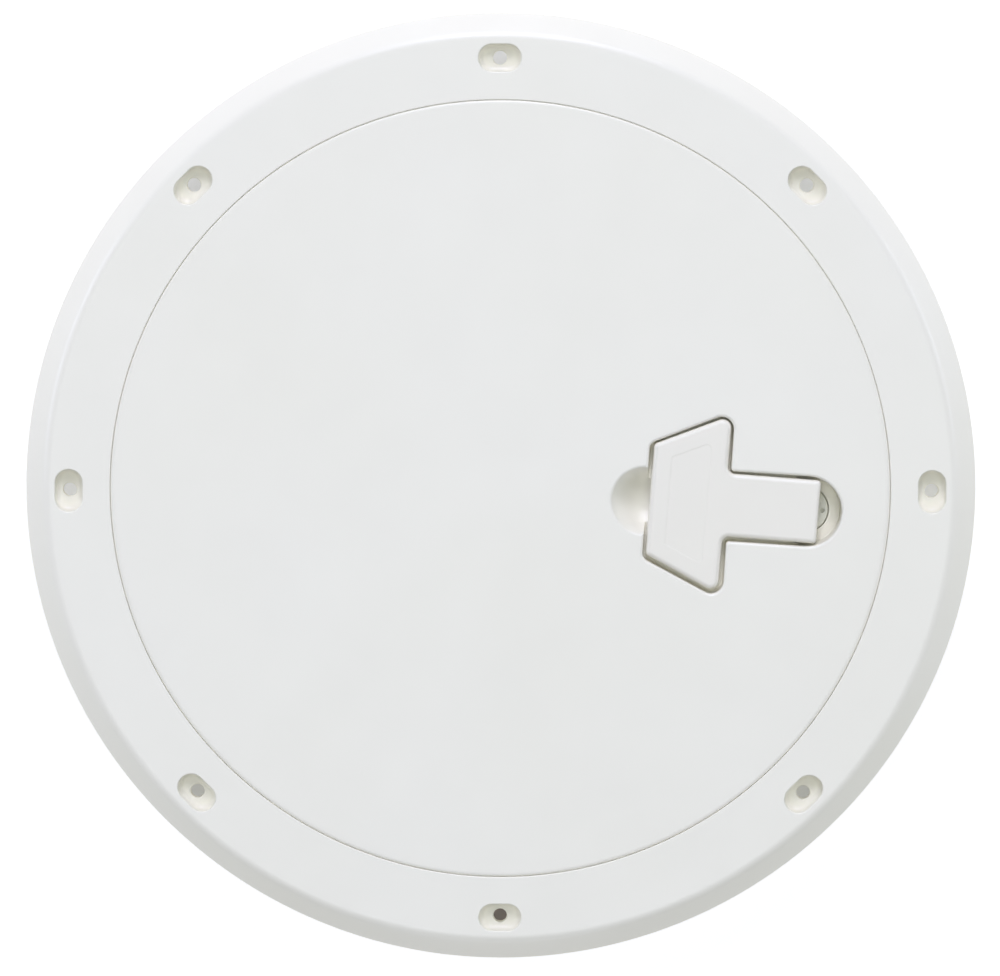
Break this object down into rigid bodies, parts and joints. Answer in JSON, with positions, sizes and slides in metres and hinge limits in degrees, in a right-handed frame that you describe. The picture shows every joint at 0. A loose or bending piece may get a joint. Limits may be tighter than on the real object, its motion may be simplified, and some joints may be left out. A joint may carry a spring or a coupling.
{
  "type": "deck inspection plate",
  "caption": "Round flush deck hatch: bevelled screw-down ring frame with a removable lid, held by a cam latch with a folding T-handle in a recess beside a finger scoop.",
  "frame": {"origin": "centre of the ring in the deck plane, which is the underside of the flange and the plane of the deck screw pattern", "axes": "+Z out of the deck, +X towards the latch side of the lid (the latch's line is turned 3.7 degrees from +X towards -Y), +Y a quarter turn from +X, all in the deck plane"},
  "size_m": [0.375, 0.375, 0.035],
  "materials": {
    "white_frame": "satin white weatherproof plastic",
    "white_lid": "satin white weatherproof plastic",
    "white_handle": "satin white weatherproof plastic",
    "white_nylon": "smooth moulded nylon",
    "grey_nylon": "moulded glass-filled nylon",
    "seal_rubber": "matt soft rubber",
    "stainless": "plain stainless steel"
  },
  "bodies": {
    "frame": {"frame_ring": "white_frame"},
    "lid": {"lid_panel": "white_lid", "lid_seal": "seal_rubber", "latch_spindle": "white_nylon", "spindle_seal": "seal_rubber", "spring_washer": "stainless", "latch_cam": "grey_nylon", "cam_washer": "stainless", "cam_screw": "stainless", "far_hook_1": "grey_nylon", "far_hook_2": "grey_nylon", "hook_screw_1": "stainless", "hook_screw_2": "stainless", "hook_screw_3": "stainless", "hook_screw_4": "stainless"},
    "handle": {"pull_handle": "white_handle", "handle_pin": "stainless"}
  },
  "joints": [
    {"name": "lid_tilt", "type": "hinge", "parent": "frame", "child": "lid", "pos_m": [-0.14654, 0.00948, 0.049], "axis": [-0.0645, -0.9979, 0], "range_deg": [0, 45]},
    {"name": "handle_lift", "type": "hinge", "parent": "lid", "child": "handle", "pos_m": [0.1207, -0.00781, 0.004], "axis": [0.0776, 0.997, 0], "range_deg": [0, 90]}
  ]
}
